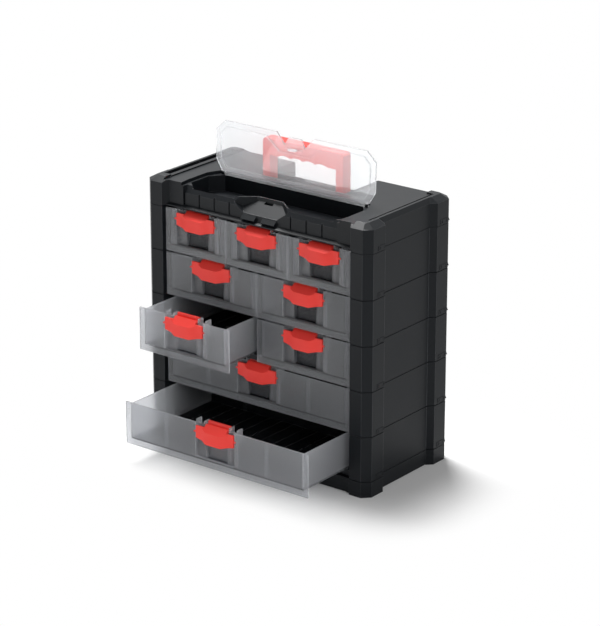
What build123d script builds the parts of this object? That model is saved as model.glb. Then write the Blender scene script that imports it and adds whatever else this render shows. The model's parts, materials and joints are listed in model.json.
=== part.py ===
"""Tool storage caddy: stacked drawer tiers under a lidded top tray with a folding handle.

X runs across the caddy, Y from its front to its back and Z up. The origin is the
centre of the footprint, on the surface that the caddy stands on. Millimetres.
"""
from build123d import *
from math import cos, radians, sin
import os

os.makedirs("parts", exist_ok=True)

# ---- Case: driving dimensions ------------------------------------------------------
case_width = 400.0
case_depth = 200.0
corner_chamfer = 11.0
post_width = 31.6          # front face of a corner post, from the side of the case
post_depth = 38.0          # side face of a corner post, from the front of the case
side_step = 8.0            # side panels stand back from the posts by this
back_step = 6.0            # and the back panel by this
wall = 3.0                 # outer walls
guide_wall = 2.5           # walls on both sides of the drawer bay
seam_height = 0.8          # groove along each joint between two tiers
seam_depth = 0.6

base_height = 23.3
foot_height = 1.0          # the base stands on its corners, its edges are lifted by this
centre_foot_radius = 12.0  # pad under the middle of the floor
tier_height = 67.35
tier_count = 5
tray_height = 35.0         # upright outer walls of the top tray
tray_crown = 7.0           # bevelled rim above them
crown_inset = 12.0         # how far the rim of a post leans in
side_crown_inset = 5.0     # the rim of a side panel
back_crown_inset = 8.0     # and the rim of the back panel

# ---- Drawer bay --------------------------------------------------------------------
shelf_lift = 6.7           # underside of a shelf above its seam
shelf_thickness = 3.0
keeper_depth = 2.4         # lip under the front edge of a shelf
divider_thickness = 2.0
runner_clearance = 1.0     # between a drawer box and the low rails that centre it
runner_height = 6.0
runner_start = 12.0        # from the front edge of the shelf

# ---- Drawers -----------------------------------------------------------------------
front_setback = 4.7        # closed drawer fronts stand behind the posts by this
bay_clearance = 3.2        # drawer front to the post beside it
drawer_gap = 2.0           # between neighbouring drawer fronts
panel_lift = 1.5           # front panel above the seam
panel_height = 64.0
panel_thickness = 2.6
box_inset = 8.0            # drawer box inside the ends of its front panel
box_clearance = 0.3        # drawer box over its shelf
box_wall = 2.2
box_top_drop = 1.5         # side walls below the top of the front panel
rear_clearance = 3.0       # closed drawer to the back wall
shelf_front_clearance = 1.0
floor_rib_height = 0.8
floor_rib_width = 1.6
floor_rib_pitch = 22.0
divider_slot = 2.2         # slot between two guide ribs for a loose divider
divider_rib = 1.5
divider_position = 91.0    # guide ribs of a wide drawer, from its middle
bottom_opened = 95.6       # how far the bottom drawer stands open
middle_opened = 61.4       # and the left drawer of the middle tier

# ---- Latches -----------------------------------------------------------------------
latch_width = 68.0
latch_wing_height = 18.0
latch_wing_thickness = 3.0
latch_proud = 0.6          # wings in front of the drawer front
latch_drop = 4.5           # top of the wings below the top of the front panel
latch_belly = 2.5          # the wings grow deeper towards the grip
latch_grip_width = 27.0    # front face of the grip
latch_root_width = 46.0    # the grip where it leaves the wings
latch_grip_depth = 4.4
latch_grip_height = 23.0
latch_face_drop = 9.5      # top of the front face below the top of the front panel
latch_crest_drop = 0.5     # a facet climbs back from the front face to this crest
latch_crest_back = 6.5
latch_valley = 2.0         # dip between the crest and the hook
latch_web = 2.4            # thickness under the dip
latch_hook_width = 40.0
latch_hook_back = 14.0     # back of the hook behind the drawer front
latch_hook_thickness = 3.0
hook_clearance = 0.55      # hook under the drawer front above it
latch_pin_radius = 1.5
latch_pin_length = 2.0
latch_pin_clearance = 0.1
latch_clearance = 1.8      # latch to the sides of its pocket
pocket_depth = 5.5         # behind the wings
pocket_lift = 13.0         # bottom of the pocket above the seam
finger_width = 38.0        # deeper part under the grip
finger_depth = 10.5
pocket_wall = 2.0
notch_drop = 9.0           # pocket walls lowered under the hook
ear_thickness = 1.6        # ears that guard both ends of the hook

# ---- Top tray ----------------------------------------------------------------------
deck_drop = 4.0            # deck below the rim of the case
deck_thickness = 3.0
deck_half_width = 170.0
rail_width = 7.0           # raised rail beside the deck
rail_rise = 2.0
slot_width = 6.0           # long slot between rail and rim
slot_length = 153.0
slot_depth = 14.0
band_recess = 13.4         # ribbed front band behind the posts
band_half_width = 137.3
band_drop = 15.0           # top of the ribbed band below the deck
band_bevel_rise = 5.0
band_bevel_depth = 3.6
groove_pitch = 27.4
groove_pairs = 4
groove_width = 2.6
groove_depth = 1.6
block_recess = 11.0        # end blocks beside the band, behind the posts
block_slope = 6.4
tray_wall = 3.0
tray_rim_depth = 4.6       # front wall of the open compartment
tray_half_width = 139.0
tray_corner_half_width = 124.5
tray_corner_front = -69.0
tray_corner_back = -29.0
tray_back_half_width = 124.0
tray_back = -10.5
bulge_half_width = 49.0    # front wall of the compartment bends in behind the lid's tab
bulge_tip = 22.0
bulge_back = -60.0
finger_half_width = 29.7   # finger recess under the front edge of the lid
finger_top_half_width = 50.0
finger_front_z = 23.7      # its sloping floor, below the deck at the front
finger_back_z = 9.5        # and at the back
finger_front_y = -85.4
ramp_split = 6.0           # half the gap between the two ramps below the recess
ramp_reach = 7.8
ramp_fall = 6.8
ramp_edge = 2.0

# ---- Lid ---------------------------------------------------------------------------
lid_hinge_y = -7.4
lid_lean = 2.0             # open lid leans back on its stop
lid_length = 78.5
lid_thickness = 2.6
lid_clearance = 0.4        # under the closed lid
lid_side_clearance = 1.0   # and around it
lid_root_half_width = 131.4
lid_half_width = 142.0
lid_tip_half_width = 126.4
lid_shoulder = 20.0
lid_corner = 64.0
lid_rib_height = 1.6
lid_rib_width = 1.8
lid_rib_inset = 8.0
lid_notch_outer = 33.0
lid_notch_apex = 18.0
lid_notch_depth = 17.0
lid_tab_half_width = 11.0
lid_tab_drop = 4.5
lid_barrel_radius = 2.4
lid_pin_radius = 1.5
lid_pin_clearance = 0.1
lid_ear_width = 5.0
lid_ear_clearance = 0.5
lid_hook_width = 12.0
lid_hook_position = 57.5
lid_hook_length = 8.5
lid_hook_thickness = 2.0
lid_hook_clearance = 1.5
lid_bar_half_width = 14.0
lid_groove_clearance = 0.6

# ---- Handle ------------------------------------------------------------------------
handle_half_width = 71.7
handle_leg_width = 12.5
handle_depth = 18.0
handle_top = 455.0
handle_front = 12.5
handle_bar_height = 25.0
finger_wave_radius = 22.0  # waves cut up into the underside of the bar
finger_wave_rise = 3.0
finger_wave_pitch = 22.0
finger_waves = 4
handle_corner = 4.0        # cut at the upper corners of the handle
handle_edge = 1.8
handle_pin_radius = 4.0
handle_pin_length = 7.0
handle_pin_clearance = 0.1
recess_side_clearance = 4.0
recess_wall = 4.0
recess_front_clearance = 0.5
recess_floor_clearance = 0.6

# ---- Derived sizes -----------------------------------------------------------------
half_width = case_width / 2
half_depth = case_depth / 2
bay_half_width = half_width - post_width
panel_x = half_width - side_step
back_panel_y = half_depth - back_step
bay_back = back_panel_y - wall
front_y = -half_depth + front_setback
front_inner_y = front_y + panel_thickness
shelf_front = front_inner_y + shelf_front_clearance
tray_seam = base_height + tier_count * tier_height
case_top = tray_seam + tray_height + tray_crown
deck_z = case_top - deck_drop
guide_x = bay_half_width + guide_wall
runner_width = bay_clearance + box_inset - runner_clearance
keeper_drop = shelf_lift - panel_lift
latch_hook_rise = tier_height - panel_height - hook_clearance

lid_hinge_z = deck_z - lid_thickness / 2 - lid_clearance * 4
lid_seat = lid_hinge_z - lid_thickness / 2 - lid_clearance
recess_front = handle_front - recess_front_clearance
recess_half_width = handle_half_width + recess_side_clearance
handle_y = handle_front + handle_depth / 2
handle_z = deck_z - handle_depth / 2 - lid_clearance * 12
recess_floor = handle_z - handle_depth / 2 - recess_floor_clearance
tray_floor = tray_seam + shelf_lift + shelf_thickness


def tier_seam(level):
    """Height of the joint under a tier, counted from 1 at the bottom."""
    return base_height + (level - 1) * tier_height


def footprint(inset=0.0, side_inset=0.0, back_inset=0.0):
    """Corners of the case's plan: four chamfered posts joined by recessed panels."""
    x_post = half_width - inset
    y_post = half_depth - inset
    x_panel = panel_x - side_inset
    y_panel = back_panel_y - back_inset
    cut = corner_chamfer - inset * 0.586
    y_step = half_depth - post_depth
    run = x_post - x_panel
    x_step = half_width - post_width
    rise = y_post - y_panel
    right = [
        (x_post - cut, -y_post),
        (x_post, -y_post + cut),
        (x_post, -y_step),
        (x_panel, -y_step + run),
        (x_panel, y_step - run),
        (x_post, y_step),
        (x_post, y_post - cut),
        (x_post - cut, y_post),
        (x_step, y_post),
        (x_step - rise, y_panel),
    ]
    left = [(-x, y) for x, y in reversed(right)]
    return right + left


def case_section(inset=0.0):
    """Plan section through a tier: outer walls, guide walls and the open drawer bay."""
    with BuildSketch() as section:
        with BuildLine():
            Polyline(*footprint(), close=True)
        make_face()
        if inset:
            offset(amount=-inset, kind=Kind.INTERSECTION)
        with BuildSketch(mode=Mode.SUBTRACT):
            with BuildLine():
                Polyline(*footprint(), close=True)
            make_face()
            offset(amount=-wall, kind=Kind.INTERSECTION)
            Rectangle(2 * guide_x, 2 * case_depth, mode=Mode.SUBTRACT)
        with Locations((0, (bay_back - case_depth) / 2)):
            Rectangle(2 * bay_half_width, bay_back + case_depth, mode=Mode.SUBTRACT)
    return section.sketch


def bay_edges(count):
    """Left and right edges of the drawer fronts that share one bay."""
    span = 2 * (bay_half_width - bay_clearance)
    width = (span - (count - 1) * drawer_gap) / count
    lefts = [-span / 2 + index * (width + drawer_gap) for index in range(count)]
    return [(left, left + width) for left in lefts]


def write(builder, name):
    """Label a finished piece and write it."""
    builder.part.label = name
    export_step(builder.part, f"parts/{name}.step")


# ---- Base --------------------------------------------------------------------------
with BuildPart() as base:
    with BuildSketch():
        with BuildLine():
            Polyline(*footprint(), close=True)
        make_face()
    extrude(amount=base_height)
    with BuildSketch():
        with BuildLine():
            Polyline(*footprint(), close=True)
        make_face()
        offset(amount=-wall, kind=Kind.INTERSECTION)
    extrude(amount=base_height - wall, mode=Mode.SUBTRACT)
    # the front edge between the posts lines up with the drawer fronts
    with BuildSketch():
        with Locations((0, -half_depth)):
            Rectangle(2 * bay_half_width, 2 * (front_setback - wall / 2))
    extrude(amount=base_height, mode=Mode.SUBTRACT)
    with BuildSketch():
        with Locations((0, front_y + wall / 2)):
            Rectangle(2 * bay_half_width, wall)
    extrude(amount=base_height)
    # stiffening rib under the floor
    with BuildSketch(Plane.XY.offset(foot_height)):
        Rectangle(2 * panel_x - wall, wall)
    extrude(amount=base_height - foot_height - wall / 2)
    # lifted edges leave a foot at each corner
    with BuildSketch():
        Rectangle(2 * (bay_half_width - side_step), 2 * case_depth)
        Rectangle(2 * case_width, 2 * (half_depth - post_depth - side_step))
    extrude(amount=foot_height, mode=Mode.SUBTRACT)
    # the middle of the floor rests on a pad
    with BuildSketch():
        Circle(centre_foot_radius)
    extrude(amount=base_height - wall)
write(base, "base_plate")


# ---- Tiers -------------------------------------------------------------------------
def tier_frame(level):
    """One storey of the case, open at the front, with the shelf that its drawers run on."""
    seam = tier_seam(level)
    shelf_bottom = seam + shelf_lift
    shelf_top = shelf_bottom + shelf_thickness
    shelf_depth = bay_back - shelf_front
    with BuildPart() as tier:
        with BuildSketch(Plane.XY.offset(seam)):
            add(case_section(seam_depth))
        extrude(amount=seam_height)
        with BuildSketch(Plane.XY.offset(seam + seam_height)):
            add(case_section())
        extrude(amount=tier_height - seam_height)
        with BuildSketch(Plane.XY.offset(shelf_bottom)):
            with Locations((0, shelf_front + shelf_depth / 2)):
                Rectangle(2 * bay_half_width, shelf_depth)
        extrude(amount=shelf_thickness)
        # keeper lip that the latches snap behind
        with BuildSketch(Plane.XY.offset(shelf_bottom - keeper_drop)):
            with Locations((0, shelf_front + keeper_depth / 2)):
                Rectangle(2 * bay_half_width, keeper_depth)
        extrude(amount=keeper_drop)
        # low runner rails beside the drawers
        run_length = shelf_depth - runner_start
        with BuildSketch(Plane.XY.offset(shelf_top)):
            with Locations((0, shelf_front + runner_start + run_length / 2)):
                with GridLocations(2 * bay_half_width - runner_width, 1, 2, 1):
                    Rectangle(runner_width, run_length)
        extrude(amount=runner_height)
    return tier


def tier_divider(level, x_wall):
    """Upright wall between two neighbouring drawers of one storey."""
    shelf_top = tier_seam(level) + shelf_lift + shelf_thickness
    shelf_depth = bay_back - shelf_front
    with BuildPart() as divider:
        with BuildSketch(Plane.XY.offset(shelf_top)):
            with Locations((x_wall, shelf_front + shelf_depth / 2)):
                Rectangle(divider_thickness, shelf_depth)
        extrude(amount=tier_seam(level + 1) - shelf_top)
    return divider


tier_drawers = [1, 1, 2, 2, 3]
divider_names = {2: ["middle"], 3: ["left", "right"]}
for level, drawers in enumerate(tier_drawers, start=1):
    write(tier_frame(level), f"tier_frame_{level}")
    walls = [right + drawer_gap / 2 for _, right in bay_edges(drawers)[:-1]]
    for x_wall, side in zip(walls, divider_names.get(drawers, [])):
        write(tier_divider(level, x_wall), f"tier_divider_{level}_{side}")


# ---- Drawers -----------------------------------------------------------------------
def drawer(level, left, right, opened):
    """A clear drawer: front panel with its latch pocket, and an open-topped box."""
    seam = tier_seam(level)
    middle = (left + right) / 2
    width = right - left
    front = front_y - opened
    rear = bay_back - rear_clearance - opened
    panel_bottom = seam + panel_lift
    panel_top = panel_bottom + panel_height
    box_bottom = seam + shelf_lift + shelf_thickness + box_clearance
    box_top = panel_top - box_top_drop
    box_width = width - 2 * box_inset
    box_length = rear - front
    inner_length = box_length - panel_thickness - box_wall
    pocket_bottom = seam + pocket_lift
    with BuildPart() as tray:
        with BuildSketch(Plane.XY.offset(panel_bottom)):
            with Locations((middle, front + panel_thickness / 2)):
                Rectangle(width, panel_thickness)
        extrude(amount=panel_height)
        with BuildSketch(Plane.XY.offset(box_bottom)):
            with Locations((middle, front + box_length / 2)):
                Rectangle(box_width, box_length)
        extrude(amount=box_top - box_bottom)
        inner_middle = front + panel_thickness + inner_length / 2
        with BuildSketch(Plane.XY.offset(box_bottom + box_wall)):
            with Locations((middle, inner_middle)):
                Rectangle(box_width - 2 * box_wall, inner_length)
        extrude(amount=box_top - box_bottom, mode=Mode.SUBTRACT)
        # ribs along the floor
        rib_count = int((box_width - 2 * box_wall - floor_rib_pitch) / floor_rib_pitch)
        with BuildSketch(Plane.XY.offset(box_bottom + box_wall)):
            with Locations((middle, inner_middle)):
                with GridLocations(floor_rib_pitch, 1, rib_count, 1):
                    Rectangle(floor_rib_width, inner_length)
        extrude(amount=floor_rib_height)
        # paired guide ribs that hold loose dividers in a wide drawer
        if width > 2 * (divider_position + latch_width):
            pair = divider_slot + divider_rib
            for side in (-divider_position, divider_position):
                with BuildSketch(Plane.XY.offset(box_bottom + box_wall)):
                    with Locations((middle + side, inner_middle)):
                        with GridLocations(pair, inner_length - divider_rib, 2, 2):
                            Rectangle(divider_rib, divider_rib)
                extrude(amount=box_top - box_bottom - box_wall)
        # housing of the latch pocket
        pocket_width = latch_width + 2 * latch_clearance
        housing_top = panel_top - box_top_drop
        steps = [(pocket_width, pocket_depth), (finger_width, finger_depth)]
        for step_width, depth in steps:
            outer_depth = depth + pocket_wall
            with BuildSketch(Plane.XY.offset(box_bottom)):
                with Locations((middle, front + outer_depth / 2)):
                    Rectangle(step_width + 2 * pocket_wall, outer_depth)
            extrude(amount=housing_top - box_bottom)
        # ears beside the hook of the latch and at both ends of the pocket
        ear_depth = latch_hook_back + pocket_wall - pocket_depth
        hook_span = latch_hook_width + 2 * latch_clearance + ear_thickness
        end_span = pocket_width + pocket_wall
        ear_bottom = pocket_bottom + panel_height / 2
        ear_top = panel_top + latch_hook_rise
        for span, thickness in [(hook_span, ear_thickness), (end_span, pocket_wall)]:
            with BuildSketch(Plane.XY.offset(ear_bottom)):
                with Locations((middle, front + pocket_depth + ear_depth / 2)):
                    with GridLocations(span, 1, 2, 1):
                        Rectangle(thickness, ear_depth)
            extrude(amount=ear_top - ear_bottom)
        # the pocket itself, open at the front and the top
        for step_width, depth in steps:
            with BuildSketch(Plane.XY.offset(pocket_bottom)):
                with Locations((middle, front + depth / 2 - panel_thickness / 2)):
                    Rectangle(step_width, depth + panel_thickness)
            extrude(amount=panel_height, mode=Mode.SUBTRACT)
        # walls lowered under the hook
        notch_depth = finger_depth + 2 * pocket_wall
        with BuildSketch(Plane.XY.offset(panel_top - notch_drop)):
            with Locations((middle, front + notch_depth / 2)):
                Rectangle(latch_hook_width + 2 * latch_clearance, notch_depth)
        extrude(amount=2 * notch_drop, mode=Mode.SUBTRACT)
        # bores for the latch's pins
        pin_y = front + latch_wing_thickness / 2 - latch_proud
        pin_z = panel_top - latch_drop - latch_wing_height / 2
        with BuildSketch(Plane.YZ.offset(middle)):
            with Locations((pin_y, pin_z)):
                Circle(latch_pin_radius + latch_pin_clearance)
        extrude(amount=pocket_width / 2 + pocket_wall, both=True, mode=Mode.SUBTRACT)
    return tray


def latch(level, left, right, opened):
    """A rocking latch: two flat wings, a forward grip and a hook that rises behind."""
    panel_top = tier_seam(level) + panel_lift + panel_height
    side_view = Plane(
        origin=((left + right) / 2, front_y - opened, panel_top), x_dir=(0, 1, 0), z_dir=(1, 0, 0)
    )
    plan_view = Plane(origin=side_view.origin, x_dir=(1, 0, 0), z_dir=(0, 0, 1))
    front_view = Plane(origin=side_view.origin, x_dir=(1, 0, 0), z_dir=(0, -1, 0))
    wing_back = latch_wing_thickness - latch_proud
    wing_bottom = -latch_drop - latch_wing_height
    root_bottom = wing_bottom - latch_belly
    grip_bottom = -latch_drop - latch_grip_height
    grip_front = -latch_proud - latch_grip_depth
    hook_front = latch_hook_back - latch_hook_thickness
    dip = -latch_crest_drop - latch_valley
    slope = (latch_face_drop - latch_crest_drop) / (latch_crest_back - grip_front)
    root_top = (-latch_proud - grip_front) * slope - latch_face_drop
    pin_y = latch_wing_thickness / 2 - latch_proud
    pin_z = -latch_drop - latch_wing_height / 2
    with BuildPart() as rocker:
        # wings, deeper towards the middle
        with BuildSketch(front_view.offset(-wing_back)):
            Polygon(
                (-latch_width / 2, -latch_drop),
                (latch_width / 2, -latch_drop),
                (latch_width / 2, wing_bottom),
                (latch_root_width / 2, root_bottom),
                (-latch_root_width / 2, root_bottom),
                (-latch_width / 2, wing_bottom),
                align=None,
            )
        extrude(amount=latch_wing_thickness)
        # the facet above the grip runs through them
        with BuildSketch(side_view):
            Polygon(
                (grip_front, -latch_face_drop),
                (latch_crest_back, -latch_crest_drop),
                (latch_crest_back, latch_hook_rise),
                (grip_front, latch_hook_rise),
                align=None,
            )
        extrude(amount=latch_hook_width / 2, both=True, mode=Mode.SUBTRACT)
        # grip, narrower and lower towards its front face
        with BuildSketch(plan_view.offset(grip_bottom)):
            Polygon(
                (-latch_root_width / 2, -latch_proud),
                (-latch_grip_width / 2, grip_front),
                (latch_grip_width / 2, grip_front),
                (latch_root_width / 2, -latch_proud),
                align=None,
            )
        extrude(amount=latch_grip_height)
        with BuildSketch(side_view):
            Polygon(
                (grip_front, -latch_face_drop),
                (-latch_proud, root_top),
                (-latch_proud, latch_hook_rise),
                (grip_front, latch_hook_rise),
                align=None,
            )
            Polygon(
                (grip_front, grip_bottom),
                (-latch_proud, root_bottom),
                (-latch_proud, grip_bottom),
                align=None,
            )
        extrude(amount=latch_width, both=True, mode=Mode.SUBTRACT)
        # crest, dip and hook, carried up and back from the wings
        with BuildSketch(side_view):
            Polygon(
                (-latch_proud, root_top),
                (latch_crest_back, -latch_crest_drop),
                (latch_crest_back + latch_valley, dip),
                (hook_front - latch_valley / 2, dip),
                (hook_front, latch_hook_rise),
                (latch_hook_back, latch_hook_rise),
                (latch_hook_back, dip),
                (hook_front, dip - latch_web / 2),
                (wing_back, dip - 2 * latch_web),
                (wing_back, -latch_face_drop),
                (-latch_proud, -latch_face_drop),
                align=None,
            )
        extrude(amount=latch_hook_width / 2, both=True)
        # pins
        with BuildSketch(side_view):
            with Locations((pin_y, pin_z)):
                Circle(latch_pin_radius)
        extrude(amount=latch_width / 2 + latch_clearance + latch_pin_length, both=True)
    return rocker


# each row from the floor up: names from left to right, and how far each stands open
drawer_rows = [
    [("bottom_drawer", bottom_opened)],
    [("lower_drawer", 0.0)],
    [("middle_drawer_left", middle_opened), ("middle_drawer_right", 0.0)],
    [("upper_drawer_left", 0.0), ("upper_drawer_right", 0.0)],
    [("top_drawer_left", 0.0), ("top_drawer_centre", 0.0), ("top_drawer_right", 0.0)],
]
for level, row in enumerate(drawer_rows, start=1):
    for (name, opened), (left, right) in zip(row, bay_edges(len(row))):
        write(drawer(level, left, right, opened), name)
        write(latch(level, left, right, opened), f"{name}_latch")


# ---- Top tray ----------------------------------------------------------------------
band_y = -half_depth + band_recess
block_y = -half_depth + block_recess
band_top = deck_z - band_drop
tray_front = band_y + tray_rim_depth
hook_y = lid_hinge_y - lid_hook_position
hook_tip_z = lid_hinge_z - lid_thickness / 2 - lid_hook_length

# finger recess: its plan, front and side outlines taken together
recess_deep_z = deck_z - finger_front_z
with BuildPart() as finger_recess:
    with BuildSketch(Plane.XY.offset(recess_deep_z)):
        Polygon(
            (-finger_top_half_width, -case_depth),
            (finger_top_half_width, -case_depth),
            (finger_top_half_width, tray_front - tray_wall),
            (bulge_tip, bulge_back - tray_wall),
            (-bulge_tip, bulge_back - tray_wall),
            (-finger_top_half_width, tray_front - tray_wall),
            align=None,
        )
    extrude(amount=2 * finger_front_z)
    with BuildSketch(Plane.XZ):
        Polygon(
            (-finger_half_width, recess_deep_z),
            (finger_half_width, recess_deep_z),
            (finger_top_half_width, deck_z - finger_back_z),
            (finger_top_half_width, deck_z + finger_back_z),
            (-finger_top_half_width, deck_z + finger_back_z),
            (-finger_top_half_width, deck_z - finger_back_z),
            align=None,
        )
    extrude(amount=2 * case_depth, both=True, mode=Mode.INTERSECT)
    with BuildSketch(Plane.YZ):
        Polygon(
            (-case_depth, recess_deep_z),
            (finger_front_y, recess_deep_z),
            (bulge_back - tray_wall, deck_z - finger_back_z),
            (bulge_back - tray_wall, deck_z + finger_back_z),
            (-case_depth, deck_z + finger_back_z),
            align=None,
        )
    extrude(amount=case_width, both=True, mode=Mode.INTERSECT)

with BuildPart() as top:
    with BuildSketch(Plane.XY.offset(tray_seam)):
        with BuildLine():
            Polyline(*footprint(), close=True)
        make_face()
        offset(amount=-seam_depth, kind=Kind.INTERSECTION)
    extrude(amount=seam_height)
    with BuildSketch(Plane.XY.offset(tray_seam + seam_height)):
        with BuildLine():
            Polyline(*footprint(), close=True)
        make_face()
    extrude(amount=tray_height - seam_height)
    # bevelled crown
    with BuildSketch(Plane.XY.offset(case_top - tray_crown)):
        with BuildLine():
            Polyline(*footprint(), close=True)
        make_face()
    with BuildSketch(Plane.XY.offset(case_top)):
        with BuildLine():
            Polyline(*footprint(crown_inset, side_crown_inset, back_crown_inset), close=True)
        make_face()
    loft(ruled=True)
    # deck, rails and the long slots beside them
    with BuildSketch(Plane.XY.offset(deck_z)):
        Rectangle(2 * deck_half_width, 2 * case_depth)
    extrude(amount=case_depth, mode=Mode.SUBTRACT)
    with BuildSketch(Plane.XY.offset(deck_z + rail_rise)):
        with GridLocations(2 * deck_half_width + rail_width, 1, 2, 1):
            Rectangle(rail_width, slot_length)
    extrude(amount=case_depth, mode=Mode.SUBTRACT)
    slot_x = deck_half_width + rail_width + slot_width / 2
    with BuildSketch(Plane.XY.offset(case_top - slot_depth)):
        with GridLocations(2 * slot_x, 1, 2, 1):
            Rectangle(slot_width, slot_length)
    extrude(amount=case_depth, mode=Mode.SUBTRACT)
    # front face between the posts
    with BuildSketch(Plane.XY.offset(tray_seam)):
        Polygon(
            (-bay_half_width, -case_depth),
            (bay_half_width, -case_depth),
            (bay_half_width, -half_depth),
            (bay_half_width - block_slope, block_y),
            (band_half_width, block_y),
            (band_half_width, band_y),
            (-band_half_width, band_y),
            (-band_half_width, block_y),
            (-bay_half_width + block_slope, block_y),
            (-bay_half_width, -half_depth),
            align=None,
        )
    extrude(amount=case_depth, mode=Mode.SUBTRACT)
    # bevel along the top of the ribbed band
    with BuildSketch(Plane.YZ):
        Polygon(
            (-case_depth, band_top),
            (band_y, band_top),
            (band_y + band_bevel_depth, band_top + band_bevel_rise),
            (tray_front + tray_wall, lid_seat),
            (tray_front + tray_wall, case_top),
            (-case_depth, case_top),
            align=None,
        )
    extrude(amount=band_half_width, both=True, mode=Mode.SUBTRACT)
    # grooves of the band
    with BuildSketch(Plane.XY.offset(tray_seam)):
        for index in range(groove_pairs):
            groove_x = (index + 2) * groove_pitch
            with Locations((-groove_x, band_y), (groove_x, band_y)):
                Rectangle(groove_width, 2 * groove_depth)
    extrude(amount=tray_height, mode=Mode.SUBTRACT)
    # seat of the closed lid and trough of its hinge
    with BuildSketch(Plane.XY.offset(lid_seat)):
        with Locations((0, lid_hinge_y)):
            Polygon(
                (lid_root_half_width + lid_side_clearance, lid_barrel_radius + lid_groove_clearance),
                (lid_half_width + lid_side_clearance, -lid_shoulder),
                (lid_half_width + lid_side_clearance, -lid_corner),
                (lid_tip_half_width + lid_side_clearance, -case_depth),
                (-lid_tip_half_width - lid_side_clearance, -case_depth),
                (-lid_half_width - lid_side_clearance, -lid_corner),
                (-lid_half_width - lid_side_clearance, -lid_shoulder),
                (-lid_root_half_width - lid_side_clearance, lid_barrel_radius + lid_groove_clearance),
                align=None,
            )
    extrude(amount=case_depth, mode=Mode.SUBTRACT)
    trough = lid_barrel_radius + lid_groove_clearance
    with BuildSketch(Plane.XY.offset(lid_hinge_z - trough)):
        with Locations((0, lid_hinge_y)):
            Rectangle(2 * lid_root_half_width, 2 * trough)
    extrude(amount=case_depth, mode=Mode.SUBTRACT)
    # open compartment
    with BuildSketch(Plane.XY.offset(tray_floor)):
        half = [
            (tray_back_half_width, tray_back),
            (tray_half_width, tray_corner_back),
            (tray_half_width, tray_corner_front),
            (tray_corner_half_width, tray_front),
            (bulge_half_width, tray_front),
            (bulge_tip, bulge_back),
        ]
        Polygon(*half, *[(-x, y) for x, y in reversed(half)], align=None)
    extrude(amount=case_depth, mode=Mode.SUBTRACT)
    # finger recess with the slot for the lid's hook, and two ramps below it
    add(finger_recess.part, mode=Mode.SUBTRACT)
    with BuildSketch(Plane.XY.offset(hook_tip_z - lid_hook_clearance)):
        with Locations((0, hook_y)):
            Rectangle(
                lid_hook_width + 2 * lid_hook_clearance,
                lid_hook_thickness + 2 * lid_hook_clearance,
            )
    extrude(amount=case_depth, mode=Mode.SUBTRACT)
    ramp_width = finger_half_width - ramp_split
    for side in (-1, 1):
        with BuildSketch(Plane.YZ.offset(side * (ramp_split + ramp_width / 2))):
            Polygon(
                (band_y + groove_depth, recess_deep_z),
                (finger_front_y, recess_deep_z),
                (finger_front_y - ramp_reach, recess_deep_z - ramp_fall),
                (finger_front_y - ramp_reach + ramp_edge, recess_deep_z - ramp_fall - ramp_edge),
                (band_y + groove_depth, recess_deep_z - ramp_fall - ramp_edge),
                align=None,
            )
        extrude(amount=ramp_width / 2, both=True)
    # recess of the folded handle, open at the back
    with BuildSketch(Plane.XY.offset(recess_floor)):
        with Locations((0, recess_front + half_depth / 2)):
            Rectangle(2 * recess_half_width, half_depth)
    extrude(amount=case_depth, mode=Mode.SUBTRACT)
    with BuildSketch(Plane.YZ):
        with Locations((handle_y, handle_z)):
            Circle(handle_pin_radius + handle_pin_clearance)
    extrude(amount=recess_half_width + recess_wall + wall, both=True, mode=Mode.SUBTRACT)
    # clearance over the drawers and their latches
    with BuildSketch(Plane.XY.offset(tray_seam)):
        with Locations((0, (bay_back - case_depth) / 2)):
            Rectangle(2 * bay_half_width, bay_back + case_depth)
    extrude(amount=panel_lift, mode=Mode.SUBTRACT)
    # hollows under the compartment, the recess, the deck and the side walls
    hollow_half = bay_half_width - wall
    hollow_front = band_y + wall
    with BuildSketch(Plane.XY.offset(tray_seam)):
        with Locations((0, (hollow_front + bay_back) / 2)):
            Rectangle(2 * hollow_half, bay_back - hollow_front)
    extrude(amount=shelf_lift, mode=Mode.SUBTRACT)
    with BuildSketch(Plane.XY.offset(tray_seam)):
        with Locations((0, (recess_front + bay_back) / 2)):
            Rectangle(2 * recess_half_width, bay_back - recess_front)
    extrude(amount=recess_floor - wall - tray_seam, mode=Mode.SUBTRACT)
    side_hollow = hollow_half - recess_half_width - recess_wall
    side_middle = recess_half_width + recess_wall + side_hollow / 2
    hollow_start = lid_hinge_y + trough + wall
    with BuildSketch(Plane.XY.offset(tray_seam)):
        with Locations((0, (hollow_start + bay_back) / 2)):
            with GridLocations(2 * side_middle, 1, 2, 1):
                Rectangle(side_hollow, bay_back - hollow_start)
    extrude(amount=deck_z - deck_thickness - tray_seam, mode=Mode.SUBTRACT)
    end_start = tray_half_width + tray_wall
    with BuildSketch(Plane.XY.offset(tray_seam)):
        with Locations((0, (block_y + wall + hollow_start) / 2)):
            with GridLocations(end_start + hollow_half, 1, 2, 1):
                Rectangle(hollow_half - end_start, hollow_start - block_y - wall)
    extrude(amount=lid_seat - deck_thickness - tray_seam, mode=Mode.SUBTRACT)
    with BuildSketch(Plane.XY.offset(tray_seam)):
        with BuildLine():
            Polyline(*footprint(), close=True)
        make_face()
        offset(amount=-wall, kind=Kind.INTERSECTION)
        Rectangle(2 * guide_x, 2 * case_depth, mode=Mode.SUBTRACT)
    extrude(amount=case_top - slot_depth - wall - tray_seam, mode=Mode.SUBTRACT)
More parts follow.
